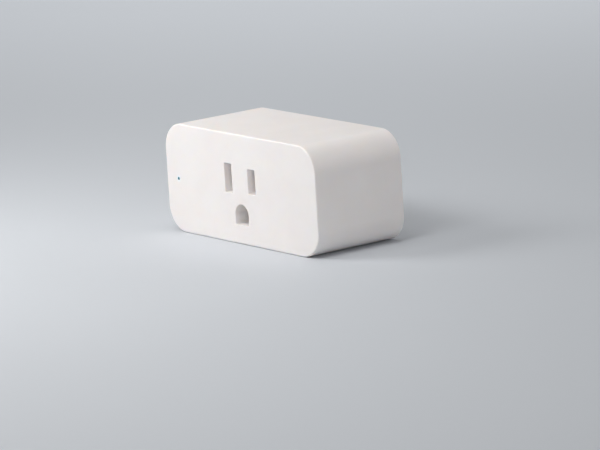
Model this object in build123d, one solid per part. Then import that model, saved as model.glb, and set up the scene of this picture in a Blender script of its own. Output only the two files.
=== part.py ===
"""Smart plug: a wide, rounded white block that plugs into a wall outlet and switches an outlet on its face.

Frame: +Z is up and the face with the outlet looks along -Y. The origin is on the plane where the plug's back
meets the wall outlet, midway between the two flat blades. All sizes are in millimetres.
"""

from build123d import *
import os

# =========================================================================================================
# Driving dimensions
# =========================================================================================================

# Case
BODY_WIDTH = 82.0
BODY_HEIGHT = 37.2
BODY_DEPTH = 36.2
CORNER_RADIUS = 9.0
BLADES_ABOVE_MIDDLE = 3.2        # the outlet sits above the middle, to leave room for its ground hole
FRONT_EDGE = 0.5                 # soft edge round the face
BACK_EDGE = 0.6                  # soft edge round the back rim
WALL = 2.2
FACE_THICKNESS = 2.4
RIB_LENGTH = 8.0                 # ribs behind the face, beside the contact carrier

# Rear cover
COVER_THICKNESS = 2.4
REBATE = 1.0                     # ledge in the back rim that the cover sits on
FLANGE_THICKNESS = 1.3
COVER_GAP = 0.1
LIP_THICKNESS = 1.2
LIP_REACH = 3.0
PANEL_DEPTH = 0.25               # plain sunken panels each side of the blades
PANEL_X = 25.0
SHOULDER_Y = -3.2                # inner end of the bosses, where the blades' shoulders bear
POST_RADIUS = 2.7

# Outlet pattern, North American 15 A grounded
BLADE_SPACING = 12.7
GROUND_DROP = 11.9
SLOT_WIDTH = 4.0
NEUTRAL_SLOT_HEIGHT = 9.9
LINE_SLOT_HEIGHT = 8.4
GROUND_HOLE_RADIUS = 3.6
GROUND_HOLE_BELOW = 3.4          # from the ground pin's axis down to the hole's flat edge
SLOT_EDGE = 0.2

# Blades and pin on the back
BLADE_THICKNESS = 1.5
NEUTRAL_BLADE_WIDTH = 7.9
LINE_BLADE_WIDTH = 6.35
BLADE_REACH = 17.0
BLADE_HOLE_RADIUS = 1.6
BLADE_HOLE_AT = 12.0
BLADE_BEVEL = 0.35
BLADE_TAB = (-3.0, -0.6)         # where a blade's solder tab lies, in z
PIN_RADIUS = 2.4
PIN_ROOT_RADIUS = 2.6
PIN_REACH = 20.3
PIN_DOME = 2.25
PIN_STEM_RADIUS = 1.5

# Sprung contacts behind the face, and the block that holds them
STRIP_THICKNESS = 0.6
CONTACT_BASE_Y = -13.4          # clear of the end of a ground pin that is plugged in
CONTACT_TAIL = (0.8, 3.2)        # where a blade contact's tail lies, in z
GROUND_TAIL_X = 3.4
GROUND_TAIL_BREADTH = 2.2
CARRIER_HALF_WIDTH = 11.2
CARRIER_HALF_HEIGHT = 6.4
CARRIER_BACK = -11.8
CARRIER_FLOOR = 1.2
GUIDE_DEPTH = 3.0                # the carrier's front, where its holes follow the face's
GUIDE_GAP = 0.1
CARRIER_FOOT_HALF_WIDTH = 6.4
CARRIER_FOOT_BOTTOM = -18.3
BLADE_CHAMBER = (6.1, 10.4)      # width and height
GROUND_CHAMBER_HALF_WIDTH = 4.4
CHAMBER_FLOOR_THICKNESS = 1.6

# Boards
BOARD_BACK = -7.4                # the power board's back face
BOARD_THICKNESS = 1.6
BOARD_GAP = 0.3
LOGIC_LEFT = -33.2               # the upright logic board
LOGIC_THICKNESS = 1.0
LOGIC_Y = (-31.6, -9.6)
LOGIC_Z = (-15.4, 9.4)
RADIO_Y = (-21.6, -11.6)
RADIO_Z = (-11.5, 7.0)
RADIO_THICKNESS = 0.8
SHIELD_HEIGHT = 2.0
SHIELD_METAL = 0.2
AERIAL_LENGTH = 5.5              # the end of the radio's board that its shield leaves clear
HEADER_X = -30.9
HEADER_Y = -10.3
HEADER_PITCH = 2.54
HEADER_COUNT = 6
HEADER_PIN = 0.64

# Status light and button, on the left
LIGHT_X = -34.4
LIGHT_DROP = 0.3                 # below the middle of the face
LIGHT_RADIUS = 0.55
LED_FRONT = -30.6
BUTTON_Y = -24.5
BUTTON_LENGTH = 10.0
BUTTON_BREADTH = 4.2
BUTTON_PROUD = 0.45
BUTTON_GAP = 0.15
BUTTON_FLANGE = 0.8
SWITCH_SIDE = 6.0
SWITCH_HEIGHT = 3.2
SWITCH_LEG_SPREAD = (-2.25, 2.25)
PLUNGER_RADIUS = 1.0
PLUNGER_PROUD = 0.7

# Relay. Heights in it are measured from the power board's front face.
RELAY_LEFT = 17.2
RELAY_MIDDLE_Z = -9.8
RELAY_LENGTH = 19.2
RELAY_BREADTH = 15.4
RELAY_HEIGHT = 15.2
RELAY_WALL = 0.7
RELAY_BASE_TOP = 2.0
COIL_FROM_LEFT = 11.6
PIVOT_FROM_LEFT = 17.5
CONTACT_FROM_LEFT = 3.4
IRON = 1.2                       # thickness of the yoke
YOKE_BREADTH = 9.0
CORE_RADIUS = 2.0
POLE_RADIUS = 3.6
POLE_THICKNESS = 0.8
POLE_TOP = 12.0
ARMATURE_THICKNESS = 1.0
ARMATURE_OPEN_ANGLE = 3.0
ARM_THICKNESS = 0.3
CONTACT_CLOSED_GAP = 0.05

# Parts on the power board: x, z, then their own sizes
SCREW_RADIUS = 1.0
SCREW_HEAD_RADIUS = 1.9
BOARD_SCREWS = [(-35.8, 5.0), (-26.2, -15.2), (35.6, 5.6)]
LEAD_RADIUS = 0.4
LEAD_END = 1.0                   # how far leads stand out of the board's back
BIG_CAPACITOR = (-19.0, 6.6, 5.0, 16.0)          # radius, height
SMALL_CAPACITOR = (-18.6, -4.4, 4.0, 12.0)       # radius, height
CHOKE = (-19.0, -13.8, 3.6, 8.0)                 # radius, height
FILM_CAPACITOR = (0.0, 10.0, 13.0, 5.6, 11.5)    # length, thickness, height
VARISTOR = (14.7, 5.6, 4.6, 3.8)                 # radius, thickness
FUSE = (14.7, -10.5, 1.6, 7.0, 10.0)             # radius, length, lead pitch
FUSE_HEIGHT = 1.9
TRANSFORMER = (27.0, 5.4, 12.8)                  # side
TRANSFORMER_BASE = 1.8
TRANSFORMER_TOP = 14.4
SHUNT = (11.3, 0.0, 3.0, 10.4)                   # breadth, length
CHIP_LIFT = 0.15
CHIP_LEG = (0.4, 0.2)                            # breadth, thickness

# Chips on the board's back: x, z, half width between the rows of legs, half length, height, pitch, legs a side
CHIPS = {
    "bridge_rectifier": (-27.4, 3.4, 2.0, 2.35, 2.0, 2.54, 2),
    "supply_chip": (-27.4, -5.4, 1.95, 2.5, 1.5, 1.27, 4),
    "meter_chip": (-11.6, -11.2, 1.95, 5.0, 1.6, 1.27, 8),
}

# =========================================================================================================
# Worked out from those above
# =========================================================================================================

MIDDLE_Z = -BLADES_ABOVE_MIDDLE
FRONT_Y = -BODY_DEPTH
FACE_BACK = FRONT_Y + FACE_THICKNESS
INNER_LEFT = WALL - BODY_WIDTH / 2
BLADE_X = BLADE_SPACING / 2
BOARD_FRONT = BOARD_BACK - BOARD_THICKNESS
LEAD_TIP = BOARD_BACK + LEAD_END
GUIDE_BACK = FACE_BACK + GUIDE_DEPTH
CONTACT_MOUTH_Y = GUIDE_BACK + 0.4
LIGHT_Z = MIDDLE_Z - LIGHT_DROP
LOGIC_RIGHT = LOGIC_LEFT + LOGIC_THICKNESS
RADIO_RIGHT = LOGIC_RIGHT + RADIO_THICKNESS
HEADER_ZS = [MIDDLE_Z + HEADER_PITCH * (i - (HEADER_COUNT - 1) / 2) for i in range(HEADER_COUNT)]
FLANGE_LEFT = INNER_LEFT + 0.05
SWITCH_LEFT = LOGIC_LEFT - SWITCH_HEIGHT
PLUNGER_LEFT = SWITCH_LEFT - PLUNGER_PROUD
SWITCH_LEGS = [(BUTTON_Y + y, MIDDLE_Z + z) for y in SWITCH_LEG_SPREAD for z in SWITCH_LEG_SPREAD]

RELAY_RIGHT = RELAY_LEFT + RELAY_LENGTH
COIL_X = RELAY_LEFT + COIL_FROM_LEFT
PIVOT_X = RELAY_LEFT + PIVOT_FROM_LEFT
PIVOT_HEIGHT = POLE_TOP + 0.05
CONTACT_X = RELAY_LEFT + CONTACT_FROM_LEFT
COIL_BOTTOM = RELAY_BASE_TOP + IRON + 0.05
COIL_TOP = POLE_TOP - POLE_THICKNESS - 0.05
ARM_BOTTOM = PIVOT_HEIGHT + ARMATURE_THICKNESS
MOVING_CONTACT_BOTTOM = ARM_BOTTOM - 0.7


def pair(x, z, pitch, upright=False):
    """Two places a pitch apart, side by side or one above the other."""
    half = pitch / 2
    return [(x, z - half), (x, z + half)] if upright else [(x - half, z), (x + half, z)]


CAN_LEADS = pair(*BIG_CAPACITOR[:2], 5.0) + pair(*SMALL_CAPACITOR[:2], 3.5) + pair(*CHOKE[:2], 5.0)
BOX_LEADS = pair(*FILM_CAPACITOR[:2], 10.0)
VARISTOR_LEADS = pair(*VARISTOR[:2], 5.0, upright=True)
FUSE_LEADS = pair(*FUSE[:2], FUSE[4], upright=True)
TRANSFORMER_LEADS = [(TRANSFORMER[0] + x, TRANSFORMER[1] + z) for x in (-4.5, 0.0, 4.5) for z in (-5.0, 5.0)]
RELAY_LEADS = pair(COIL_X + 5.0, RELAY_MIDDLE_Z, 12.0, upright=True)
RELAY_LEADS += pair(COIL_X - 5.2, RELAY_MIDDLE_Z, 12.0, upright=True)
ALL_LEADS = CAN_LEADS + BOX_LEADS + VARISTOR_LEADS + FUSE_LEADS + TRANSFORMER_LEADS + RELAY_LEADS


# =========================================================================================================
# Helpers
# =========================================================================================================

def prism(sketch, y_front, y_back):
    """A sketch drawn in (x, z), as a solid from y_front to y_back."""
    return extrude(Plane.XZ.offset(-y_back) * sketch, amount=y_back - y_front)


def prism_x(sketch, x_low, x_high):
    """A sketch drawn in (y, z), as a solid from x_low to x_high."""
    return extrude(Plane.YZ.offset(x_low) * sketch, amount=x_high - x_low)


def prism_z(sketch, z_low, z_high):
    """A sketch drawn in (x, y), as a solid from z_low to z_high."""
    return extrude(Plane.XY.offset(z_low) * sketch, amount=z_high - z_low)


def block(x_low, x_high, y_low, y_high, z_low, z_high):
    """A box given by its limits."""
    box = Box(x_high - x_low, y_high - y_low, z_high - z_low)
    return Pos((x_low + x_high) / 2, (y_low + y_high) / 2, (z_low + z_high) / 2) * box


def rod(x, z, radius, y_low, y_high):
    """A round rod along Y."""
    return prism(Pos(x, z) * Circle(radius), y_low, y_high)


def rod_x(y, z, radius, x_low, x_high):
    """A round rod along X."""
    return prism_x(Pos(y, z) * Circle(radius), x_low, x_high)


def ring(x, z, outer, inner, y_low, y_high):
    """A tube along Y."""
    return rod(x, z, outer, y_low, y_high) - rod(x, z, inner, y_low, y_high)


def front_face_of(solid):
    """The face that looks furthest along -Y."""
    return solid.faces().sort_by(Axis.Y)[0]


def back_face_of(solid):
    """The face that looks furthest along +Y."""
    return solid.faces().sort_by(Axis.Y)[-1]


def strip(points, thickness):
    """The outline of a bent metal strip whose middle follows the points, with mitred bends."""
    middle = [Vector(*p) for p in points]
    left, right = [], []
    for i, here in enumerate(middle):
        before = (here - middle[i - 1]).normalized() if i else None
        after = (middle[i + 1] - here).normalized() if i + 1 < len(middle) else None
        before, after = before or after, after or before
        normal = Vector(-before.Y, before.X)
        mitre = (normal + Vector(-after.Y, after.X)).normalized()
        reach = thickness / 2 / mitre.dot(normal)
        left.append(here + mitre * reach)
        right.append(here - mitre * reach)
    return make_face(Polyline(*left, *reversed(right), close=True))


def level(height):
    """The y of a height above the power board's front face."""
    return BOARD_FRONT - height


# =========================================================================================================
# Case
# =========================================================================================================

def case_outline(inset):
    """The case's rounded outline, moved in by inset."""
    width = BODY_WIDTH - 2 * inset
    height = BODY_HEIGHT - 2 * inset
    return Pos(0, MIDDLE_Z) * RectangleRounded(width, height, CORNER_RADIUS - inset)


def outlet_holes(growth=0.0):
    """The outlines of the two slots and the ground hole, which is a half round above a flat edge."""
    radius = GROUND_HOLE_RADIUS + growth
    below = GROUND_HOLE_BELOW + growth
    arch = Circle(radius) & Pos(0, radius / 2) * Rectangle(2 * radius, radius)
    hole = arch + Pos(0, -below / 2) * Rectangle(2 * radius, below)
    lower_corners = hole.vertices().sort_by(Axis.Y)[:2]
    outline = Pos(0, -GROUND_DROP) * fillet(lower_corners, 0.6)
    for x, height in ((-BLADE_X, NEUTRAL_SLOT_HEIGHT), (BLADE_X, LINE_SLOT_HEIGHT)):
        outline += Pos(x, 0) * RectangleRounded(SLOT_WIDTH + 2 * growth, height + 2 * growth, 0.4)
    return outline


def button_outline(growth):
    """The button's upright oval in (y, z), grown all round."""
    oval = SlotOverall(BUTTON_LENGTH + 2 * growth, BUTTON_BREADTH + 2 * growth)
    return Pos(BUTTON_Y, MIDDLE_Z) * Rot(0, 0, 90) * oval


def front_shell():
    """Face and four walls in one moulding, open at the back."""
    shell = prism(case_outline(0), FRONT_Y, 0)
    shell = fillet(front_face_of(shell).edges(), FRONT_EDGE)
    shell = fillet(back_face_of(shell).edges(), BACK_EDGE)
    shell -= prism(case_outline(WALL), FACE_BACK, 1)
    shell -= prism(case_outline(WALL - REBATE), -FLANGE_THICKNESS, 1)

    shell -= prism(outlet_holes(), FRONT_Y - 1, FACE_BACK + 1)
    mouths = [edge for wire in front_face_of(shell).inner_wires() for edge in wire.edges()]
    shell = fillet(mouths, SLOT_EDGE)
    shell -= rod(LIGHT_X, LIGHT_Z, LIGHT_RADIUS, FRONT_Y - 1, FACE_BACK + 1)

    shell -= prism_x(button_outline(0), -BODY_WIDTH / 2 - 1, INNER_LEFT + 1)
    window_rim = shell.faces().sort_by(Axis.X)[0].inner_wires()[0].edges()
    shell = chamfer(window_rim, 0.3)

    near = CARRIER_HALF_WIDTH + 0.1
    rib = block(near, near + 1.0, FACE_BACK - 0.2, FACE_BACK + RIB_LENGTH, -5.5, 5.5)
    return shell + rib + mirror(rib, Plane.YZ)


def rear_cover():
    """Plate that closes the back, with bosses for the blades and posts for the power board."""
    seat = case_outline(WALL + COVER_GAP)
    cover = prism(case_outline(WALL - REBATE + COVER_GAP), -FLANGE_THICKNESS, 0)
    cover += prism(seat, -COVER_THICKNESS, -FLANGE_THICKNESS)
    lip = seat - case_outline(WALL + COVER_GAP + LIP_THICKNESS)
    cover += prism(lip, -COVER_THICKNESS - LIP_REACH, -COVER_THICKNESS)

    bosses = RectangleRounded(BLADE_SPACING + 6.0, 13.0, 2.0)
    bosses += Pos(0, 1 - GROUND_DROP) * RectangleRounded(12.0, 12.0, 2.0)
    cover += prism(bosses, SHOULDER_Y, -COVER_THICKNESS)
    for x, z in BOARD_SCREWS:
        cover += rod(x, z, POST_RADIUS, BOARD_BACK, -COVER_THICKNESS)

    for x, width in ((-BLADE_X, NEUTRAL_BLADE_WIDTH), (BLADE_X, LINE_BLADE_WIDTH)):
        slot = Pos(x, 0) * Rectangle(BLADE_THICKNESS + 0.1, width + 0.1)
        cover -= prism(slot, SHOULDER_Y - 1, 1)
    cover -= rod(0, -GROUND_DROP, PIN_ROOT_RADIUS + 0.05, SHOULDER_Y - 1, 1)
    for x, z in BOARD_SCREWS:
        cover -= rod(x, z, SCREW_RADIUS + 0.03, BOARD_BACK - 1, -COVER_THICKNESS + 0.4)
    for side in (-1, 1):
        panel = Pos(side * PANEL_X, MIDDLE_Z) * RectangleRounded(22.0, 24.0, 3.0)
        cover -= prism(panel, -PANEL_DEPTH, 1)
    return cover


# =========================================================================================================
# Blades and ground pin on the back
# =========================================================================================================

def blade(x, width):
    """Flat blade with rounded tip corners, a shoulder behind the cover and a solder tab."""
    foot_front = SHOULDER_Y - 1.8
    tab_low, tab_high = BLADE_TAB
    tab_z = (tab_low + tab_high) / 2
    tab_width = tab_high - tab_low
    tab_tip = BOARD_FRONT - 1.4

    tip = Pos(BLADE_REACH / 2, 0) * Rectangle(BLADE_REACH, width)
    outline = fillet(tip.vertices().group_by(Axis.X)[-1], 1.4)
    outline += Pos(SHOULDER_Y / 2, 0) * Rectangle(-SHOULDER_Y, width)
    outline += Pos((SHOULDER_Y + foot_front) / 2, 0) * Rectangle(SHOULDER_Y - foot_front, width + 2.0)
    outline += Pos((BOARD_BACK + foot_front) / 2, tab_z) * Rectangle(foot_front - BOARD_BACK, tab_width + 0.8)
    outline += Pos((BOARD_BACK + tab_tip) / 2, tab_z) * Rectangle(BOARD_BACK - tab_tip, tab_width)
    outline -= Pos(BLADE_HOLE_AT, 0) * Circle(BLADE_HOLE_RADIUS)
    solid = prism_x(outline, x - BLADE_THICKNESS / 2, x + BLADE_THICKNESS / 2)

    flat_sides = solid.faces().filter_by(Axis.X)
    tip_edges = [edge for edge in flat_sides.edges() if edge.center().Y > BLADE_REACH - 2.5]
    return chamfer(tip_edges, BLADE_BEVEL)


def ground_pin():
    """Round pin with a domed end, a thicker root in the cover, a collar behind it and a solder stem."""
    collar_front = SHOULDER_Y - 1.4
    pin = rod(0, -GROUND_DROP, PIN_RADIUS, 0, PIN_REACH)
    pin = fillet(back_face_of(pin).edges(), PIN_DOME)
    pin += rod(0, -GROUND_DROP, PIN_ROOT_RADIUS, SHOULDER_Y, 0)
    pin += rod(0, -GROUND_DROP, 3.7, collar_front, SHOULDER_Y)
    pin += rod(0, -GROUND_DROP, 2.2, BOARD_BACK, collar_front)
    return pin + rod(0, -GROUND_DROP, PIN_STEM_RADIUS, BOARD_FRONT - 1.0, BOARD_BACK)


# =========================================================================================================
# Sprung contacts behind the face, and the block that holds them
# =========================================================================================================

def spring_clip(x, z, half_root, half_throat, half_mouth, breadth):
    """Two leaves bent from one strip, which close on a blade or a pin."""
    mouth = (half_mouth, CONTACT_MOUTH_Y)
    throat = (half_throat, CONTACT_MOUTH_Y + 3.6)
    knee = (half_root, CONTACT_BASE_Y - 4.5)
    root = (half_root, CONTACT_BASE_Y)
    leaf = [mouth, throat, knee, root]
    mirrored = [(-across, along) for across, along in reversed(leaf)]
    outline = strip(leaf + mirrored, STRIP_THICKNESS)
    clip = prism_z(Pos(x, 0) * outline, z - breadth / 2, z + breadth / 2)
    return fillet(clip.edges().filter_by(Axis.Z), 0.22)


def blade_contact(x, breadth):
    """Clip for one flat blade, with a tail through the power board."""
    clip = spring_clip(x, 0, 2.3, 0.85, 2.0, breadth)
    half = STRIP_THICKNESS / 2
    return clip + block(x - half, x + half, CONTACT_BASE_Y, LEAD_TIP, *CONTACT_TAIL)


def ground_contact():
    """Clip for a round ground pin, with two tails."""
    clip = spring_clip(0, -GROUND_DROP, 3.6, 2.6, 3.4, 5.4)
    half = STRIP_THICKNESS / 2
    low, high = -GROUND_DROP - GROUND_TAIL_BREADTH / 2, -GROUND_DROP + GROUND_TAIL_BREADTH / 2
    for x in (-GROUND_TAIL_X, GROUND_TAIL_X):
        clip += block(x - half, x + half, CONTACT_BASE_Y, LEAD_TIP, low, high)
    return clip


def contact_tail_holes():
    """Holes for the contacts' tails, as an outline in (x, z)."""
    low, high = CONTACT_TAIL
    across = STRIP_THICKNESS + 0.2
    holes = Sketch()
    for x in (-BLADE_X, BLADE_X):
        holes += Pos(x, (low + high) / 2) * Rectangle(across, high - low + 0.2)
    for x in (-GROUND_TAIL_X, GROUND_TAIL_X):
        holes += Pos(x, -GROUND_DROP) * Rectangle(across, GROUND_TAIL_BREADTH + 0.2)
    return holes


def contact_carrier():
    """Moulded block behind the face: guides, then a chamber for each contact, and feet on the power board."""
    upper = RectangleRounded(2 * CARRIER_HALF_WIDTH, 2 * CARRIER_HALF_HEIGHT, 1.0)
    lower = RectangleRounded(2 * CARRIER_FOOT_HALF_WIDTH, -CARRIER_FOOT_BOTTOM, 1.0)
    outline = upper + Pos(0, CARRIER_FOOT_BOTTOM / 2) * lower
    carrier = prism(outline, FACE_BACK, CARRIER_BACK)

    floor_y = CARRIER_BACK - CARRIER_FLOOR
    carrier -= prism(outlet_holes(GUIDE_GAP), FACE_BACK - 1, GUIDE_BACK + 0.1)
    for x in (-BLADE_X, BLADE_X):
        carrier -= prism(Pos(x, 0) * RectangleRounded(*BLADE_CHAMBER, 0.5), GUIDE_BACK, floor_y)
    top = GROUND_HOLE_RADIUS + 0.4 - GROUND_DROP
    bottom = CARRIER_FOOT_BOTTOM + CHAMBER_FLOOR_THICKNESS
    ground_chamber = Pos(0, (top + bottom) / 2) * Rectangle(2 * GROUND_CHAMBER_HALF_WIDTH, top - bottom)
    carrier -= prism(ground_chamber, GUIDE_BACK, floor_y)
    carrier -= prism(contact_tail_holes(), floor_y - 1, CARRIER_BACK + 1)

    feet = pair(0, 4.8, 2 * CARRIER_HALF_WIDTH - 2.8)
    feet += pair(0, CARRIER_FOOT_BOTTOM + 1.4, 2 * CARRIER_FOOT_HALF_WIDTH - 2.4)
    for x, z in feet:
        carrier += rod(x, z, 1.1, CARRIER_BACK - 0.2, BOARD_FRONT)
    return carrier


# =========================================================================================================
# Status light and side button
# =========================================================================================================

def light_pipe():
    """Clear rod from the status light to a dot in the face."""
    pipe = rod(LIGHT_X, LIGHT_Z, LIGHT_RADIUS - 0.02, FRONT_Y + 0.02, FACE_BACK + 0.05)
    pipe += rod(LIGHT_X, LIGHT_Z, 1.5, FACE_BACK + 0.05, FACE_BACK + 0.85)
    return pipe + rod(LIGHT_X, LIGHT_Z, 1.0, FACE_BACK + 0.85, LED_FRONT - 0.1)


def status_led():
    """Side-firing light on the logic board, behind the light pipe."""
    led = block(LIGHT_X - 0.7, LOGIC_LEFT, LED_FRONT, LED_FRONT + 1.1, LIGHT_Z - 1.5, LIGHT_Z + 1.5)
    return chamfer(front_face_of(led).edges(), 0.2)


def side_button():
    """Oval cap that stands just proud of the left wall, kept in by a flange, with a stem to the switch."""
    button = prism_x(button_outline(-BUTTON_GAP), -BODY_WIDTH / 2 - BUTTON_PROUD, FLANGE_LEFT)
    button = fillet(button.faces().sort_by(Axis.X)[0].edges(), 0.35)
    button += prism_x(button_outline(1.0), FLANGE_LEFT, FLANGE_LEFT + BUTTON_FLANGE)
    return button + rod_x(BUTTON_Y, MIDDLE_Z, 1.3, FLANGE_LEFT + BUTTON_FLANGE, PLUNGER_LEFT - 0.02)


def switch_plunger():
    """The tactile switch's own moving post, with a collar that keeps it in."""
    post = rod_x(BUTTON_Y, MIDDLE_Z, PLUNGER_RADIUS, PLUNGER_LEFT, SWITCH_LEFT + 0.3)
    return post + rod_x(BUTTON_Y, MIDDLE_Z, PLUNGER_RADIUS + 0.4, SWITCH_LEFT + 0.3, SWITCH_LEFT + 0.8)


def switch_housing():
    """The tactile switch's square body, hollow where the post moves."""
    side = Pos(BUTTON_Y, MIDDLE_Z) * RectangleRounded(SWITCH_SIDE, SWITCH_SIDE, 0.5)
    housing = prism_x(side, SWITCH_LEFT, LOGIC_LEFT)
    housing -= rod_x(BUTTON_Y, MIDDLE_Z, PLUNGER_RADIUS + 0.08, SWITCH_LEFT - 1, SWITCH_LEFT + 1)
    return housing - rod_x(BUTTON_Y, MIDDLE_Z, PLUNGER_RADIUS + 0.5, SWITCH_LEFT + 0.28, SWITCH_LEFT + 1.8)


def switch_terminals():
    """The switch's four legs, through the logic board."""
    return Compound(children=[rod_x(y, z, 0.3, LOGIC_LEFT, LOGIC_RIGHT + 0.5) for y, z in SWITCH_LEGS])


# =========================================================================================================
# Logic board with the radio
# =========================================================================================================

def logic_board():
    """Upright board on the left, between the button and the radio."""
    board = block(LOGIC_LEFT, LOGIC_RIGHT, *LOGIC_Y, *LOGIC_Z)
    board = fillet(board.edges().filter_by(Axis.X), 0.8)
    for y, z in SWITCH_LEGS:
        board -= rod_x(y, z, 0.4, LOGIC_LEFT - 1, LOGIC_RIGHT + 1)
    for z in HEADER_ZS:
        board -= rod_x(HEADER_Y, z, 0.55, LOGIC_LEFT - 1, LOGIC_RIGHT + 1)
    return board


def header_strip():
    """Plastic strip that carries the pins between the two boards."""
    low, high = HEADER_X - 1.25, HEADER_X + 1.25
    half_length = HEADER_COUNT * HEADER_PITCH / 2
    gap = HEADER_PIN / 2 + 0.04
    body = block(low, high, HEADER_Y - 0.9, BOARD_FRONT, MIDDLE_Z - half_length, MIDDLE_Z + half_length)
    for z in HEADER_ZS:
        body -= block(HEADER_X - gap, HEADER_X + gap, HEADER_Y - gap, BOARD_FRONT + 1, z - gap, z + gap)
        body -= block(low - 1, HEADER_X, HEADER_Y - gap, HEADER_Y + gap, z - gap, z + gap)
    return body


def header_pins():
    """Square pins bent from the logic board down through the power board."""
    half = HEADER_PIN / 2
    pins = []
    for z in HEADER_ZS:
        upright = block(HEADER_X - half, HEADER_X + half, HEADER_Y - half, LEAD_TIP, z - half, z + half)
        across = block(LOGIC_LEFT - 0.8, HEADER_X, HEADER_Y - half, HEADER_Y + half, z - half, z + half)
        pins.append(upright + across)
    return Compound(children=pins)


def radio_board():
    """The radio module's own small board."""
    return block(LOGIC_RIGHT, RADIO_RIGHT, *RADIO_Y, *RADIO_Z)


def radio_shield():
    """Pressed metal can over the radio's parts."""
    inset = 0.6
    y_low, y_high = RADIO_Y[0] + inset, RADIO_Y[1] - inset
    z_low, z_high = RADIO_Z[0] + inset, RADIO_Z[1] - AERIAL_LENGTH
    top = RADIO_RIGHT + SHIELD_HEIGHT
    can = block(RADIO_RIGHT, top, y_low, y_high, z_low, z_high)
    can = fillet(can.edges().filter_by(Axis.X), 0.6)
    can = fillet(can.faces().sort_by(Axis.X)[-1].edges(), 0.3)
    metal = SHIELD_METAL
    y_low, y_high, z_low, z_high = y_low + metal, y_high - metal, z_low + metal, z_high - metal
    return can - block(RADIO_RIGHT - 1, top - metal, y_low, y_high, z_low, z_high)


# =========================================================================================================
# Relay: coil, core and yoke pull an armature that carries the moving contact
# =========================================================================================================

def relay_block(x_low, x_high, bottom, top, breadth):
    """A box in the relay, centred across its breadth."""
    half = breadth / 2
    return block(x_low, x_high, level(top), level(bottom), RELAY_MIDDLE_Z - half, RELAY_MIDDLE_Z + half)


def relay_rod(x, radius, bottom, top):
    """A round rod standing in the relay, on its middle line."""
    return rod(x, RELAY_MIDDLE_Z, radius, level(top), level(bottom))


def relay_cover():
    """Plastic box over the relay's works, open towards the board."""
    cover = relay_block(RELAY_LEFT, RELAY_RIGHT, 0.3, RELAY_HEIGHT, RELAY_BREADTH)
    cover = fillet(cover.edges().filter_by(Axis.Y), 0.8)
    cover = fillet(front_face_of(cover).edges(), 0.5)
    left, right = RELAY_LEFT + RELAY_WALL, RELAY_RIGHT - RELAY_WALL
    return cover - relay_block(left, right, -1, RELAY_HEIGHT - RELAY_WALL, RELAY_BREADTH - 2 * RELAY_WALL)


def relay_base():
    """Plastic plate that the relay's metal parts stand on."""
    inset = RELAY_WALL + 0.1
    base = relay_block(RELAY_LEFT + inset, RELAY_RIGHT - inset, 0, RELAY_BASE_TOP, RELAY_BREADTH - 2 * inset)
    for x, z in RELAY_LEADS:
        base -= rod(x, z, LEAD_RADIUS + 0.08, level(RELAY_BASE_TOP + 1), level(-1))
    return base - relay_block(RELAY_LEFT + 1.35, RELAY_LEFT + 2.15, -1, RELAY_BASE_TOP + 1, 4.1)


def relay_yoke():
    """L-shaped iron frame: a foot under the coil, and an upright whose top edge the armature rocks on."""
    half = IRON / 2
    yoke = relay_block(COIL_X - 4.5, PIVOT_X + half, RELAY_BASE_TOP, RELAY_BASE_TOP + IRON, YOKE_BREADTH)
    yoke += relay_block(PIVOT_X - half, PIVOT_X + half, RELAY_BASE_TOP, POLE_TOP, YOKE_BREADTH)
    return yoke - relay_rod(COIL_X, CORE_RADIUS + 0.05, RELAY_BASE_TOP - 1, RELAY_BASE_TOP + 2)


def relay_core():
    """Iron core with a wide pole face, seated in the yoke's foot."""
    core = relay_rod(COIL_X, CORE_RADIUS, RELAY_BASE_TOP + 0.05, POLE_TOP - POLE_THICKNESS)
    return core + relay_rod(COIL_X, POLE_RADIUS, POLE_TOP - POLE_THICKNESS, POLE_TOP)


def relay_bobbin():
    """Plastic spool round the core."""
    bobbin = relay_rod(COIL_X, CORE_RADIUS + 0.7, COIL_BOTTOM, COIL_TOP)
    for bottom in (COIL_BOTTOM, COIL_TOP - 0.8):
        flange = relay_block(COIL_X - 4.9, COIL_X + 4.9, bottom, bottom + 0.8, 9.8)
        bobbin += fillet(flange.edges().filter_by(Axis.Y), 1.5)
    return bobbin - relay_rod(COIL_X, CORE_RADIUS + 0.08, COIL_BOTTOM - 1, COIL_TOP + 1)


def relay_coil():
    """Copper winding on the spool."""
    low, high = level(COIL_TOP - 0.85), level(COIL_BOTTOM + 0.85)
    return ring(COIL_X, RELAY_MIDDLE_Z, 4.5, CORE_RADIUS + 0.75, low, high)


def rest_tilt(shape):
    """Turns a piece from where the armature is pulled in to where its spring holds it open."""
    pivot = Pos(PIVOT_X, level(PIVOT_HEIGHT), RELAY_MIDDLE_Z)
    return pivot * Rot(0, 0, ARMATURE_OPEN_ANGLE) * pivot.inverse() * shape


def relay_armature():
    """Iron flap that the pole face pulls in."""
    flap = relay_block(COIL_X - 4.4, PIVOT_X + 0.7, PIVOT_HEIGHT, ARM_BOTTOM, 9.4)
    return rest_tilt(fillet(flap.edges().filter_by(Axis.Y), 0.8))


def relay_contact_arm():
    """Springy strip riveted to the armature, with the moving contact at its end."""
    arm = relay_block(CONTACT_X - 1.6, PIVOT_X - 3.0, ARM_BOTTOM, ARM_BOTTOM + ARM_THICKNESS, 5.0)
    arm = fillet(arm.edges().filter_by(Axis.Y), 0.8)
    arm += relay_rod(CONTACT_X, 1.3, MOVING_CONTACT_BOTTOM, ARM_BOTTOM + 0.05)
    for x, z in pair(PIVOT_X - 5.0, RELAY_MIDDLE_Z, 2.6, upright=True):
        arm += rod(x, z, 0.6, level(ARM_BOTTOM + 0.6), level(ARM_BOTTOM + 0.2))
    return rest_tilt(arm)


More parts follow.
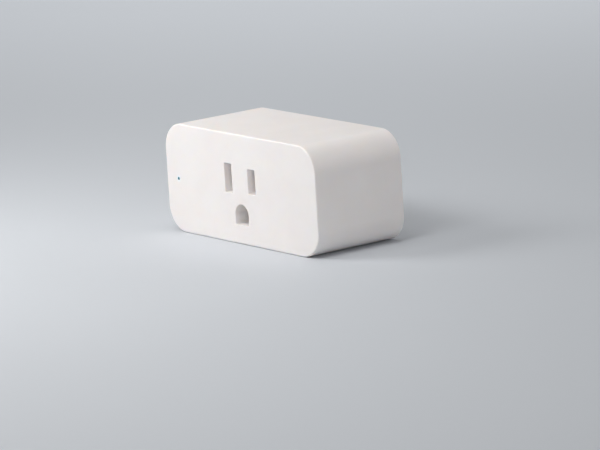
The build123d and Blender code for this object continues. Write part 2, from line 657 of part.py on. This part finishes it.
def relay_fixed_contact():
    """Terminal strip that stands in the base and bends under the moving contact."""
    left = RELAY_LEFT + 1.4
    top = MOVING_CONTACT_BOTTOM - CONTACT_CLOSED_GAP
    terminal = relay_block(left, left + 0.7, -BOARD_THICKNESS - LEAD_END, top - 0.7, 3.9)
    terminal += relay_block(left, CONTACT_X + 1.7, top - 1.4, top - 0.7, 5.0)
    return terminal + relay_rod(CONTACT_X, 1.4, top - 0.75, top)


# =========================================================================================================
# Power board, its screws and the parts on it
# =========================================================================================================

def power_board():
    """Main board across the back, drilled for everything that passes through it."""
    board = prism(case_outline(WALL + BOARD_GAP), BOARD_FRONT, BOARD_BACK)
    holes = contact_tail_holes()
    for x, z in ALL_LEADS:
        holes += Pos(x, z) * Circle(LEAD_RADIUS + 0.1)
    for x, z in BOARD_SCREWS:
        holes += Pos(x, z) * Circle(SCREW_RADIUS + 0.15)
    for z in HEADER_ZS:
        holes += Pos(HEADER_X, z) * Circle(0.55)
    low, high = BLADE_TAB
    for x in (-BLADE_X, BLADE_X):
        holes += Pos(x, (low + high) / 2) * Rectangle(BLADE_THICKNESS + 0.2, high - low + 0.2)
    holes += Pos(0, -GROUND_DROP) * Circle(PIN_STEM_RADIUS + 0.1)
    holes += Pos(RELAY_LEFT + 1.75, RELAY_MIDDLE_Z) * Rectangle(0.9, 4.1)
    return board - prism(holes, BOARD_FRONT - 1, BOARD_BACK + 1)


def board_screws():
    """Small cross-head screws that hold the power board to the cover's posts."""
    screws = []
    for x, z in BOARD_SCREWS:
        head = rod(x, z, SCREW_HEAD_RADIUS, BOARD_FRONT - 1.4, BOARD_FRONT)
        head = fillet(front_face_of(head).edges(), 0.6)
        cross = Pos(x, z) * (Rectangle(2.2, 0.5) + Rectangle(0.5, 2.2))
        head -= prism(cross, BOARD_FRONT - 2, BOARD_FRONT - 0.7)
        screws.append(head + rod(x, z, SCREW_RADIUS, BOARD_FRONT, -COVER_THICKNESS - 0.6))
    return Compound(children=screws)


def can_capacitor(x, z, radius, height):
    """Electrolytic capacitor: a can with a crimped waist and a rounded top."""
    body = rod(x, z, radius, BOARD_FRONT - height, BOARD_FRONT)
    body = fillet(front_face_of(body).edges(), 0.6)
    return body - Pos(x, BOARD_FRONT - 1.6, z) * Rot(90, 0, 0) * Torus(radius + 0.25, 0.6)


def bulk_capacitors():
    """The two smoothing capacitors."""
    return Compound(children=[can_capacitor(*BIG_CAPACITOR), can_capacitor(*SMALL_CAPACITOR)])


def film_capacitor():
    """Boxed safety capacitor across the mains."""
    x, z, length, thickness, height = FILM_CAPACITOR
    half_length, half = length / 2, thickness / 2
    box = block(x - half_length, x + half_length, BOARD_FRONT - height, BOARD_FRONT, z - half, z + half)
    return fillet(box.edges(), 0.4)


def varistor():
    """Coated disc that absorbs surges, standing on its leads."""
    x, z, radius, thickness = VARISTOR
    disc = rod_x(BOARD_FRONT - radius - 0.9, z, radius, x - thickness / 2, x + thickness / 2)
    return fillet(disc.edges(), 1.2)


def fuse():
    """Fusible resistor lying just above the board."""
    x, z, radius, length, _ = FUSE
    barrel = Pos(x, BOARD_FRONT - FUSE_HEIGHT, z) * Cylinder(radius, length)
    return fillet(barrel.edges(), 0.5)


def choke_core():
    """Ferrite drum of the filter choke."""
    x, z, radius, height = CHOKE
    top = BOARD_FRONT - height
    core = rod(x, z, radius, top, top + 1.2) + rod(x, z, radius, BOARD_FRONT - 1.2, BOARD_FRONT)
    return core + rod(x, z, 1.6, top, BOARD_FRONT)


def choke_winding():
    """Copper wire on the drum."""
    x, z, radius, height = CHOKE
    return ring(x, z, radius - 0.5, 1.62, BOARD_FRONT - height + 1.22, BOARD_FRONT - 1.22)


def transformer_spool():
    """The y limits of the transformer's spool."""
    return BOARD_FRONT - TRANSFORMER_TOP + 2.6, BOARD_FRONT - TRANSFORMER_BASE - 0.4


def transformer_bobbin():
    """Spool of the supply's transformer, on a base with pins."""
    x, z, side = TRANSFORMER
    half = side / 2
    base_top = BOARD_FRONT - TRANSFORMER_BASE
    base = block(x - half, x + half, base_top, BOARD_FRONT, z - half, z + half)
    for lead_x, lead_z in TRANSFORMER_LEADS:
        base -= rod(lead_x, lead_z, LEAD_RADIUS + 0.05, BOARD_FRONT - 1.2, BOARD_FRONT + 1)
    base -= block(x - 7, x + 7, BOARD_FRONT - 5, BOARD_FRONT + 1, z - 2.65, z + 2.65)

    low, high = transformer_spool()
    spool = rod(x, z, 3.3, low, high) + rod(x, z, 5.2, low, low + 0.7) + rod(x, z, 5.2, high - 0.7, high)
    spool -= rod(x, z, 2.6, low - 1, high + 1)
    for near, far in ((-4.8, -3.0), (3.0, 4.8)):
        spool += block(x - 3.0, x + 3.0, high - 0.1, base_top + 0.1, z + near, z + far)
    return base + spool


def transformer_winding():
    """Windings, wrapped in tape."""
    x, z, _ = TRANSFORMER
    low, high = transformer_spool()
    return ring(x, z, 4.9, 3.35, low + 0.72, high - 0.72)


def transformer_core():
    """Ferrite frame round the spool: two outer legs, two bars and a round middle leg."""
    x, z, side = TRANSFORMER
    top, bottom = BOARD_FRONT - TRANSFORMER_TOP, BOARD_FRONT - 0.3
    outer = side / 2 + 0.2
    frame = block(x - outer, x + outer, top, bottom, z - 2.5, z + 2.5)
    frame -= block(x - 5.3, x + 5.3, top + 2.0, bottom - 1.6, z - 3, z + 3)
    return frame + rod(x, z, 2.5, top + 1, bottom - 0.5)


def fuse_leads():
    """The two bent legs of the fusible resistor."""
    x, middle, _, length, _ = FUSE
    y = BOARD_FRONT - FUSE_HEIGHT
    legs = []
    for _, z in FUSE_LEADS:
        end = middle + (length / 2 if z > middle else -length / 2)
        path = Polyline((x, y, end), (x, y, z), (x, LEAD_TIP, z))
        bent = fillet(path.vertices().sort_by_distance((x, y, z))[0], 1.0)
        legs.append(sweep(Plane((x, y, end), z_dir=(0, 0, z - end)) * Circle(LEAD_RADIUS), path=bent))
    return legs


def part_leads():
    """Round wire legs of the parts that stand on the board."""
    starts = {0.0: CAN_LEADS + BOX_LEADS, 1.1: VARISTOR_LEADS + TRANSFORMER_LEADS, 1.5: RELAY_LEADS}
    wires = [
        rod(x, z, LEAD_RADIUS, level(start), LEAD_TIP)
        for start, places in starts.items()
        for x, z in places
    ]
    return Compound(children=wires + fuse_leads())


def solder_joints():
    """Coned solder round each wire on the board's back."""
    joints = []
    for x, z in ALL_LEADS:
        cone = Pos(x, BOARD_BACK + 0.35, z) * Rot(-90, 0, 0) * Cone(0.95, 0.5, 0.7)
        joints.append(cone - rod(x, z, LEAD_RADIUS + 0.02, BOARD_BACK - 1, LEAD_TIP + 1))
    return Compound(children=joints)


def chip_body(name):
    """Moulded body of a chip, standing off the board."""
    x, z, half_width, half_length, height, _, _ = CHIPS[name]
    seat = BOARD_BACK + CHIP_LIFT
    body = block(x - half_width, x + half_width, seat, seat + height, z - half_length, z + half_length)
    return chamfer(back_face_of(body).edges(), 0.25)


def chip_leads():
    """Gull-wing legs of all the chips."""
    breadth, thickness = CHIP_LEG
    foot = BOARD_BACK + thickness / 2 + 0.02
    legs = []
    for x, z, half_width, _, height, pitch, count in CHIPS.values():
        shoulder = BOARD_BACK + CHIP_LIFT + height / 2
        path = [(0, shoulder), (0.5, shoulder), (0.75, foot), (1.3, foot)]
        for side in (-1, 1):
            outline = strip([(x + side * (half_width + across), y) for across, y in path], thickness)
            for i in range(count):
                at = z + pitch * (i - (count - 1) / 2)
                legs.append(prism_z(outline, at - breadth / 2, at + breadth / 2))
    return Compound(children=legs)


def shunt_resistor():
    """Bent metal strip that measures the load's current."""
    x, z, breadth, length = SHUNT
    half = length / 2
    low, high = BOARD_BACK + 0.25, BOARD_BACK + 1.6
    path = [(low, z - half), (low, z - half + 1.8), (high, z - half + 2.6)]
    path += [(high, z + half - 2.6), (low, z + half - 1.8), (low, z + half)]
    return prism_x(strip(path, 0.4), x - breadth / 2, x + breadth / 2)


# =========================================================================================================
# Every sub-part, by name
# =========================================================================================================

SUB_PARTS = {
    "front_shell": front_shell,
    "rear_cover": rear_cover,
    "neutral_blade": lambda: blade(-BLADE_X, NEUTRAL_BLADE_WIDTH),
    "line_blade": lambda: blade(BLADE_X, LINE_BLADE_WIDTH),
    "ground_pin": ground_pin,
    "neutral_contact": lambda: blade_contact(-BLADE_X, 8.4),
    "line_contact": lambda: blade_contact(BLADE_X, 7.4),
    "ground_contact": ground_contact,
    "contact_carrier": contact_carrier,
    "light_pipe": light_pipe,
    "status_led": status_led,
    "side_button": side_button,
    "switch_plunger": switch_plunger,
    "switch_housing": switch_housing,
    "switch_terminals": switch_terminals,
    "logic_board": logic_board,
    "header_strip": header_strip,
    "header_pins": header_pins,
    "radio_board": radio_board,
    "radio_shield": radio_shield,
    "relay_cover": relay_cover,
    "relay_base": relay_base,
    "relay_yoke": relay_yoke,
    "relay_core": relay_core,
    "relay_bobbin": relay_bobbin,
    "relay_coil": relay_coil,
    "relay_armature": relay_armature,
    "relay_contact_arm": relay_contact_arm,
    "relay_fixed_contact": relay_fixed_contact,
    "power_board": power_board,
    "board_screws": board_screws,
    "bulk_capacitors": bulk_capacitors,
    "film_capacitor": film_capacitor,
    "varistor": varistor,
    "fuse": fuse,
    "choke_core": choke_core,
    "choke_winding": choke_winding,
    "transformer_bobbin": transformer_bobbin,
    "transformer_winding": transformer_winding,
    "transformer_core": transformer_core,
    "part_leads": part_leads,
    "solder_joints": solder_joints,
    "bridge_rectifier": lambda: chip_body("bridge_rectifier"),
    "supply_chip": lambda: chip_body("supply_chip"),
    "meter_chip": lambda: chip_body("meter_chip"),
    "chip_leads": chip_leads,
    "shunt_resistor": shunt_resistor,
}

os.makedirs("parts", exist_ok=True)
for name, make in SUB_PARTS.items():
    export_step(make(), f"parts/{name}.step")
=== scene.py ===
"""Looks of the smart plug: materials, wound wire, floor, studio light and camera, round the CAD model."""

import math

import bmesh
import bpy
from mathutils import Matrix, Vector


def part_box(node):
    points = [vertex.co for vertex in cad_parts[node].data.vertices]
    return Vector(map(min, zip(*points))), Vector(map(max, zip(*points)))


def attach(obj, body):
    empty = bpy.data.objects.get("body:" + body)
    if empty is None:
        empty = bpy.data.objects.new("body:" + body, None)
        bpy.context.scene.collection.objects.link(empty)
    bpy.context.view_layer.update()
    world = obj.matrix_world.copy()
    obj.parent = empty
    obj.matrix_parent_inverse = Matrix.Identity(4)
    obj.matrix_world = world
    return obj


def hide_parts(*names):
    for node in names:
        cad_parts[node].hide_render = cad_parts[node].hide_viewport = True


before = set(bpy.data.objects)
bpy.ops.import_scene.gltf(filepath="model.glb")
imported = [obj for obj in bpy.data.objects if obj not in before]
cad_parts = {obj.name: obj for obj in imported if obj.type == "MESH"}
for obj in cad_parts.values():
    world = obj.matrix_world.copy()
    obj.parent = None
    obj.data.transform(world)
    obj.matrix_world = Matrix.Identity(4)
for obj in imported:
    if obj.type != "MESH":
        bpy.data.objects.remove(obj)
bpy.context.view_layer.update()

MM = 0.001

# =========================================================================================================
# Places that everything else is worked out from
# =========================================================================================================

SHELL_LOW, SHELL_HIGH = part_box("front_shell")
FLOOR_Z = SHELL_LOW.z - 0.05 * MM
LIGHT_TIP = sum(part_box("light_pipe"), Vector()) / 2
LIGHT_TIP.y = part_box("light_pipe")[0].y

# The camera looks at a point just inside the lower right of the face.
CAMERA_TARGET = Vector((36.2, -39.7, -10.0)) * MM
CAMERA_DISTANCE = 1.5
CAMERA_AZIMUTH = 52.91
CAMERA_ELEVATION = 11.61
CAMERA_ROLL = -3.467
CAMERA_LENS = 277.3


# =========================================================================================================
# Material helpers
# =========================================================================================================

class Shader:
    """A new material with a Principled shader, and short calls that add nodes to it."""

    def __init__(self, name):
        self.material = bpy.data.materials.new(name)
        self.material.use_nodes = True
        self.nodes = self.material.node_tree.nodes
        self.links = self.material.node_tree.links
        self.surface = self.nodes["Principled BSDF"]
        self.place = self.nodes.new("ShaderNodeTexCoord").outputs["Object"]

    def set(self, **values):
        """Sets the shader's own sockets; an underscore in a name stands for a space."""
        for name, value in values.items():
            self.surface.inputs[name.replace("_", " ")].default_value = value
        return self

    def link(self, output, name):
        self.links.new(output, self.surface.inputs[name])

    def stretched(self, scale):
        """Object coordinates in metres, stretched by a factor for each axis."""
        node = self.nodes.new("ShaderNodeMapping")
        node.inputs["Scale"].default_value = scale
        self.links.new(self.place, node.inputs["Vector"])
        return node.outputs["Vector"]

    def noise(self, size, detail=2.0, roughness=0.5, stretch=(1, 1, 1)):
        """Noise whose features are about size metres across."""
        node = self.nodes.new("ShaderNodeTexNoise")
        node.inputs["Scale"].default_value = 1.0 / size
        node.inputs["Detail"].default_value = detail
        node.inputs["Roughness"].default_value = roughness
        self.links.new(self.stretched(stretch), node.inputs["Vector"])
        return node.outputs["Fac"]

    def cells(self, size):
        """Distance to the nearest point of a random scatter, about size metres apart."""
        node = self.nodes.new("ShaderNodeTexVoronoi")
        node.inputs["Scale"].default_value = 1.0 / size
        self.links.new(self.place, node.inputs["Vector"])
        return node.outputs["Distance"]

    def remap(self, value, low, high, from_low=0.0, from_high=1.0):
        node = self.nodes.new("ShaderNodeMapRange")
        limits = {"From Min": from_low, "From Max": from_high, "To Min": low, "To Max": high}
        for name, number in limits.items():
            node.inputs[name].default_value = number
        self.links.new(value, node.inputs["Value"])
        return node.outputs["Result"]

    def mix(self, factor, first, second):
        """Blends two colours, each a list or another node's output."""
        node = self.nodes.new("ShaderNodeMix")
        node.data_type = "RGBA"
        self.links.new(factor, node.inputs["Factor"])
        for socket, colour in ((node.inputs[6], first), (node.inputs[7], second)):
            if isinstance(colour, bpy.types.NodeSocket):
                self.links.new(colour, socket)
            else:
                socket.default_value = (*colour, 1.0)
        return node.outputs[2]

    def bump(self, *layers):
        """Stacks bump layers, each (height output, depth in metres, strength)."""
        normal = None
        for height, depth, strength in layers:
            node = self.nodes.new("ShaderNodeBump")
            node.inputs["Strength"].default_value = strength
            node.inputs["Distance"].default_value = depth
            self.links.new(height, node.inputs["Height"])
            if normal is not None:
                self.links.new(normal, node.inputs["Normal"])
            normal = node.outputs["Normal"]
        self.link(normal, "Normal")


def direction(azimuth, elevation):
    """Unit vector towards a place given in degrees; azimuth 0 is straight in front and 90 on the right."""
    turn, tilt = math.radians(azimuth), math.radians(elevation)
    return Vector((math.sin(turn) * math.cos(tilt), -math.cos(turn) * math.cos(tilt), math.sin(tilt)))


def shade(colour, factor):
    return tuple(min(1.0, c * factor) for c in colour)


# =========================================================================================================
# Materials
# =========================================================================================================

WARM_WHITE = (0.930, 0.882, 0.868)
PAINTED_GLOW_INNER = 0.4 * MM            # distances from the tip of the light pipe, between which the painted glow fades out
PAINTED_GLOW_OUTER = 1.7 * MM


def moulded_plastic(name, colour, roughness, grain=0.22 * MM, depth=0.006 * MM, waxy=0.0):
    """Moulded plastic with the fine texture of an eroded tool, and faint unevenness in colour and gloss."""
    s = Shader(name)
    s.set(Specular_IOR_Level=0.45, Subsurface_Weight=waxy, Subsurface_Scale=0.7 * MM)
    s.set(Subsurface_Radius=(1.0, 0.85, 0.7))
    flow = s.noise(11 * MM, detail=3.0)
    s.link(s.mix(s.remap(flow, 0, 1, 0.3, 0.7), shade(colour, 0.985), shade(colour, 1.012)), "Base Color")
    fine = s.noise(grain, detail=3.0, roughness=0.6)
    s.link(s.remap(fine, roughness - 0.06, roughness + 0.06, 0.3, 0.7), "Roughness")
    s.bump((fine, depth, 0.35), (flow, 0.05 * MM, 0.05))
    return s


def case_plastic(name):
    """The case's warm white, with a painted glow of the blue light, as emission, in the plastic just round
    the dot.
    """
    s = moulded_plastic(name, WARM_WHITE, 0.46, waxy=0.6)
    # painted glow: emission standing in for the light pipe's light scattered in the case plastic, strongest
    # at the tip
    offset = s.nodes.new("ShaderNodeVectorMath")
    offset.operation = "DISTANCE"
    offset.inputs[1].default_value = LIGHT_TIP
    s.links.new(s.place, offset.inputs[0])
    near = s.remap(offset.outputs["Value"], 1.0, 0.0, PAINTED_GLOW_INNER, PAINTED_GLOW_OUTER)
    painted_glow = s.nodes.new("ShaderNodeMath")
    painted_glow.operation = "POWER"
    painted_glow.inputs[1].default_value = 2.0
    s.links.new(near, painted_glow.inputs[0])
    s.set(Emission_Strength=0.34)
    s.link(s.mix(painted_glow.outputs["Value"], (0, 0, 0), (0.0, 0.40, 0.60)), "Emission Color")
    return s


def lit_dot(name):
    """The clear rod with the blue light behind it, brightest in its middle."""
    s = Shader(name)
    s.set(Roughness=0.16, IOR=1.49, Coat_Weight=0.1, Coat_Roughness=0.08, Emission_Strength=1.0)
    s.link(s.mix(s.noise(0.2 * MM), (0.002, 0.03, 0.05), (0.003, 0.05, 0.07)), "Base Color")
    s.link(s.mix(s.noise(0.35 * MM), (0.0, 0.075, 0.110), (0.0, 0.105, 0.145)), "Emission Color")
    return s


def plated_metal(name, colour, roughness, streaks=(1, 1, 1), bright=1.08):
    """Plated metal, with drawing lines and light rubbing along the way it was drawn."""
    s = Shader(name)
    s.set(Metallic=1.0)
    lines = s.noise(0.12 * MM, detail=4.0, roughness=0.65, stretch=streaks)
    cloud = s.noise(3 * MM, detail=3.0)
    base = s.mix(s.remap(cloud, 0, 1, 0.3, 0.7), shade(colour, 0.9), colour)
    s.link(s.mix(s.remap(lines, 0, 1, 0.45, 0.75), base, shade(colour, bright)), "Base Color")
    s.link(s.remap(lines, roughness - 0.07, roughness + 0.12, 0.3, 0.7), "Roughness")
    s.bump((lines, 0.004 * MM, 0.3))
    return s


def bare_board(name, colour, edge):
    """Circuit board: solder mask over woven glass, darker over the copper's edges, blended in patches towards
    a paler green.
    """
    s = Shader(name)
    weave = s.nodes.new("ShaderNodeTexWave")
    weave.inputs["Scale"].default_value = 1.0 / (3.0 * MM)
    weave.inputs["Distortion"].default_value = 1.2
    s.links.new(s.place, weave.inputs["Vector"])
    copper = s.nodes.new("ShaderNodeTexBrick")
    copper.inputs["Scale"].default_value = 1.0 / (2.6 * MM)
    copper.inputs["Mortar Size"].default_value = 0.055
    copper.inputs["Color1"].default_value = (1, 1, 1, 1)
    copper.inputs["Color2"].default_value = (0.75, 0.75, 0.75, 1)
    copper.inputs["Mortar"].default_value = (0, 0, 0, 1)
    s.links.new(s.place, copper.inputs["Vector"])
    mask = s.mix(copper.outputs["Color"], shade(colour, 0.7), shade(colour, 1.25))
    mask = s.mix(s.remap(weave.outputs["Fac"], 0.0, 0.25), mask, shade(colour, 1.6))
    s.link(s.mix(s.remap(s.noise(6 * MM), 0, 0.35, 0.3, 0.7), mask, edge), "Base Color")
    s.set(Coat_Weight=0.35, Coat_Roughness=0.2)
    s.link(s.remap(s.noise(0.4 * MM), 0.32, 0.46, 0.3, 0.7), "Roughness")
    s.bump((copper.outputs["Fac"], 0.03 * MM, 0.35), (weave.outputs["Fac"], 0.01 * MM, 0.2))
    return s


def lacquer(name, colour, roughness=0.25):
    """Glossy coating with a slight orange-peel surface, as on dipped and sleeved parts."""
    s = Shader(name)
    s.set(Coat_Weight=0.4, Coat_Roughness=0.12)
    peel = s.noise(0.9 * MM, detail=2.0)
    s.link(s.mix(s.remap(peel, 0, 1, 0.3, 0.7), shade(colour, 0.85), shade(colour, 1.1)), "Base Color")
    s.link(s.remap(s.noise(0.25 * MM), roughness - 0.06, roughness + 0.08, 0.3, 0.7), "Roughness")
    s.bump((peel, 0.05 * MM, 0.25))
    return s


def ferrite(name):
    """Pressed and fired ferrite, dark grey with a fine gritty surface."""
    s = Shader(name)
    grit = s.cells(0.25 * MM)
    s.link(s.mix(grit, (0.030, 0.030, 0.033), (0.085, 0.084, 0.088)), "Base Color")
    s.link(s.remap(s.noise(0.5 * MM), 0.55, 0.75, 0.3, 0.7), "Roughness")
    s.bump((grit, 0.03 * MM, 0.4))
    return s


def enamelled_copper(name):
    """Copper wire under clear enamel."""
    s = plated_metal(name, (0.72, 0.27, 0.11), 0.30)
    s.set(Coat_Weight=0.6, Coat_Roughness=0.15)
    return s


def tape(name):
    """Polyester tape, slightly uneven where its turns overlap."""
    return lacquer(name, (0.80, 0.60, 0.09), 0.22)


def solder(name):
    """Bright solder, smooth with a few dull patches."""
    s = Shader(name)
    s.set(Metallic=1.0)
    dull = s.noise(0.6 * MM, detail=3.0)
    s.link(s.mix(s.remap(dull, 0, 1, 0.4, 0.6), (0.50, 0.50, 0.51), (0.68, 0.68, 0.69)), "Base Color")
    s.link(s.remap(dull, 0.18, 0.42, 0.35, 0.7), "Roughness")
    s.bump((dull, 0.03 * MM, 0.3))
    return s


ALONG_Y = (1, 0.03, 1)
ALONG_X = (0.2, 1, 1)
SHELL = case_plastic("white_case_plastic")
COVER = moulded_plastic("white_cover_plastic", shade(WARM_WHITE, 0.985), 0.50, waxy=0.06)
BUTTON = moulded_plastic("white_button_plastic", shade(WARM_WHITE, 0.99), 0.38, grain=0.3 * MM, waxy=0.06)
NYLON = moulded_plastic("white_carrier_nylon", (0.93, 0.885, 0.865), 0.42, waxy=0.6)
NICKEL = plated_metal("nickel_plate", (0.70, 0.67, 0.62), 0.24, streaks=ALONG_Y)
TIN = plated_metal("tin_plate", (0.62, 0.61, 0.59), 0.33, streaks=ALONG_Y)
WIRE = plated_metal("tinned_wire", (0.66, 0.66, 0.65), 0.28, streaks=ALONG_Y)
GOLD = plated_metal("gold_plate", (0.83, 0.58, 0.22), 0.25, streaks=ALONG_Y)
STEEL = plated_metal("shield_steel", (0.58, 0.58, 0.57), 0.34, streaks=ALONG_Y)
IRON = plated_metal("zinc_plated_iron", (0.52, 0.52, 0.51), 0.40)
BRONZE = plated_metal("contact_copper", (0.72, 0.42, 0.25), 0.30, streaks=ALONG_X, bright=1.03)
SHUNT = plated_metal("shunt_alloy", (0.50, 0.38, 0.28), 0.36)
COPPER = enamelled_copper("enamelled_copper")
BLACK = moulded_plastic("black_plastic", (0.022, 0.022, 0.024), 0.45, grain=0.3 * MM)
GREY = moulded_plastic("grey_plastic", (0.20, 0.20, 0.21), 0.42)
EPOXY = moulded_plastic("chip_epoxy", (0.018, 0.018, 0.020), 0.55, grain=0.15 * MM, depth=0.012 * MM)

FINISHES = {
    "front_shell": SHELL,
    "rear_cover": COVER,
    "side_button": BUTTON,
    "contact_carrier": NYLON,
    "light_pipe": lit_dot("lit_light_pipe"),
    "status_led": lacquer("led_epoxy", (0.78, 0.76, 0.60), 0.2),
    "neutral_blade": NICKEL,
    "line_blade": NICKEL,
    "ground_pin": NICKEL,
    "neutral_contact": TIN,
    "line_contact": TIN,
    "ground_contact": TIN,
    "switch_plunger": GREY,
    "switch_housing": BLACK,
    "switch_terminals": WIRE,
    "logic_board": bare_board("green_logic_board", (0.016, 0.115, 0.045), (0.020, 0.135, 0.055)),
    "power_board": bare_board("green_power_board", (0.018, 0.125, 0.050), (0.022, 0.145, 0.060)),
    "radio_board": bare_board("black_radio_board", (0.012, 0.012, 0.014), (0.016, 0.016, 0.018)),
    "radio_shield": STEEL,
    "header_strip": BLACK,
    "header_pins": GOLD,
    "relay_cover": moulded_plastic("blue_relay_cover", (0.012, 0.075, 0.26), 0.32, grain=0.5 * MM),
    "relay_base": BLACK,
    "relay_yoke": IRON,
    "relay_core": IRON,
    "relay_armature": IRON,
    "relay_bobbin": moulded_plastic("natural_nylon", (0.72, 0.69, 0.60), 0.40, waxy=0.1),
    "relay_coil": COPPER,
    "relay_contact_arm": BRONZE,
    "relay_fixed_contact": BRONZE,
    "board_screws": IRON,
    "bulk_capacitors": lacquer("capacitor_sleeve", (0.010, 0.012, 0.030), 0.22),
    "film_capacitor": lacquer("yellow_film_box", (0.78, 0.50, 0.05), 0.35),
    "varistor": lacquer("blue_varistor_coat", (0.020, 0.12, 0.42), 0.28),
    "fuse": lacquer("green_fuse_lacquer", (0.10, 0.24, 0.12), 0.38),
    "choke_core": ferrite("choke_ferrite"),
    "choke_winding": COPPER,
    "transformer_core": ferrite("transformer_ferrite"),
    "transformer_bobbin": BLACK,
    "transformer_winding": tape("yellow_tape"),
    "part_leads": WIRE,
    "solder_joints": solder("solder"),
    "bridge_rectifier": EPOXY,
    "supply_chip": EPOXY,
    "meter_chip": EPOXY,
    "chip_leads": WIRE,
    "shunt_resistor": SHUNT,
}

for node, finish in FINISHES.items():
    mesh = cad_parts[node].data
    mesh.materials.clear()
    mesh.materials.append(finish.material)


# =========================================================================================================
# Wound wire
# =========================================================================================================

VALLEY = 0.98                    # how far the dips between turns go down; 1 is half the wire's thickness


def wound_wire(name, node, bore, wire, steps=72, rows_per_turn=8):
    """Replaces a plain ring along Y with a winding whose surface shows each turn of its wire.

    The turns climb as a helix. bore is the ring's inner radius and wire is the wire's thickness, in metres.
    """
    low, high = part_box(node)
    middle = (low + high) / 2
    outside = (high.x - low.x) / 2
    turns = round((high.y - low.y) / wire)
    pitch = (high.y - low.y) / turns
    rows = turns * rows_per_turn
    mesh = bmesh.new()

    def loop(y, radius_at):
        verts = []
        for step in range(steps):
            angle = math.tau * step / steps
            radius = radius_at(angle)
            verts.append(mesh.verts.new((middle.x + radius * math.cos(angle), y,
                                         middle.z + radius * math.sin(angle))))
        return verts

    def crown(y, angle):
        """The surface's radius: half circles of wire, side by side."""
        phase = ((y - low.y) / pitch + angle / math.tau) % 1.0
        return outside - wire / 2 + wire / 2 * math.sqrt(1.0 - VALLEY * (2.0 * phase - 1.0) ** 2)

    rings = [loop(low.y, lambda angle: bore)]
    for row in range(rows + 1):
        y = low.y + (high.y - low.y) * row / rows
        rings.append(loop(y, lambda angle: crown(y, angle)))
    rings.append(loop(high.y, lambda angle: bore))
    for first, second in zip(rings, rings[1:] + rings[:1]):
        for step in range(steps):
            after = (step + 1) % steps
            mesh.faces.new((first[step], first[after], second[after], second[step]))
    bmesh.ops.recalc_face_normals(mesh, faces=mesh.faces)
    data = bpy.data.meshes.new(name)
    mesh.to_mesh(data)
    mesh.free()
    data.shade_smooth()
    data.set_sharp_from_angle(angle=math.radians(60))
    data.materials.append(COPPER.material)
    piece = bpy.data.objects.new(name, data)
    bpy.context.scene.collection.objects.link(piece)
    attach(piece, "housing")
    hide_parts(node)


wound_wire("relay_wound_wire", "relay_coil", bore=2.75 * MM, wire=0.22 * MM, rows_per_turn=6)
wound_wire("choke_wound_wire", "choke_winding", bore=1.62 * MM, wire=0.38 * MM)


# =========================================================================================================
# Floor, light and camera
# =========================================================================================================

def floor():
    """A wide pale floor under the plug."""
    bpy.ops.mesh.primitive_grid_add(x_subdivisions=8, y_subdivisions=8, size=12.0, location=(0, 0, FLOOR_Z))
    ground = bpy.context.object
    ground.name = "floor"
    s = Shader("pale_floor")
    cloud = s.noise(0.4, detail=2.0)
    s.link(s.mix(cloud, (0.575, 0.605, 0.645), (0.605, 0.635, 0.675)), "Base Color")
    s.link(s.remap(s.noise(0.05), 0.75, 0.85), "Roughness")
    ground.data.materials.append(s.material)


LAMP_WARM = (1.0, 0.985, 0.965)
FILL_WARM = (1.0, 0.975, 0.95)


def area_light(name, azimuth, elevation, distance, size, power, colour):
    """A square soft box that faces the plug. Angles are in degrees, and distance and size in metres."""
    aim = (SHELL_LOW + SHELL_HIGH) / 2
    place = aim + direction(azimuth, elevation) * distance
    data = bpy.data.lights.new(name, "AREA")
    data.shape = "SQUARE"
    data.size = size
    data.energy = power
    data.color = colour
    lamp = bpy.data.objects.new(name, data)
    bpy.context.scene.collection.objects.link(lamp)
    lamp.location = place
    lamp.rotation_euler = (aim - place).to_track_quat("-Z", "Y").to_euler()


def floor_light(azimuth, away, height, power):
    """A soft spot straight above the floor some way off, which falls off before it reaches the plug."""
    data = bpy.data.lights.new("floor_light", "SPOT")
    data.spot_size = 2.0 * math.atan2(away * 1.06, height)
    data.spot_blend = 1.0
    data.shadow_soft_size = 0.2
    data.energy = power
    lamp = bpy.data.objects.new("floor_light", data)
    bpy.context.scene.collection.objects.link(lamp)
    lamp.location = direction(azimuth, 0.0) * away + Vector((0, 0, FLOOR_Z + height))


def studio():
    """Soft boxes in front, above, on the right and behind, a spot on the floor, and faint light all round."""
    area_light("key_light", -38, 38, 0.28, 0.12, 0.37, LAMP_WARM)
    area_light("front_light", 22, 48, 0.45, 0.20, 0.49, LAMP_WARM)
    area_light("top_light", 0, 84, 1.60, 1.20, 8.60, LAMP_WARM)
    area_light("right_fill", 50, 8, 1.00, 0.40, 1.56, FILL_WARM)
    area_light("rear_fill", 168, 14, 1.10, 0.60, 2.20, LAMP_WARM)
    floor_light(CAMERA_AZIMUTH + 180, 0.75, 1.0, 24.0)
    world = bpy.data.worlds.new("soft_surround")
    world.use_nodes = True
    background = world.node_tree.nodes["Background"]
    background.inputs["Color"].default_value = (0.95, 0.97, 1.0, 1.0)
    background.inputs["Strength"].default_value = 0.15
    bpy.context.scene.world = world


def camera():
    """A long lens from the front right and a little above, tilted a few degrees."""
    data = bpy.data.cameras.new("camera")
    data.sensor_width = 36.0
    data.lens = CAMERA_LENS
    data.clip_start = 0.01
    data.clip_end = 100.0
    eye = bpy.data.objects.new("camera", data)
    bpy.context.scene.collection.objects.link(eye)
    back = direction(CAMERA_AZIMUTH, CAMERA_ELEVATION)
    right = Vector((0, 0, 1)).cross(back).normalized()
    turn = Matrix((right, back.cross(right), back)).transposed().to_4x4()
    place = Matrix.Translation(CAMERA_TARGET + back * CAMERA_DISTANCE)
    eye.matrix_world = place @ turn @ Matrix.Rotation(math.radians(CAMERA_ROLL), 4, "Z")
    bpy.context.scene.camera = eye


floor()
studio()
camera()
bpy.context.scene.view_settings.view_transform = "Standard"
bpy.context.scene.view_settings.look = "None"
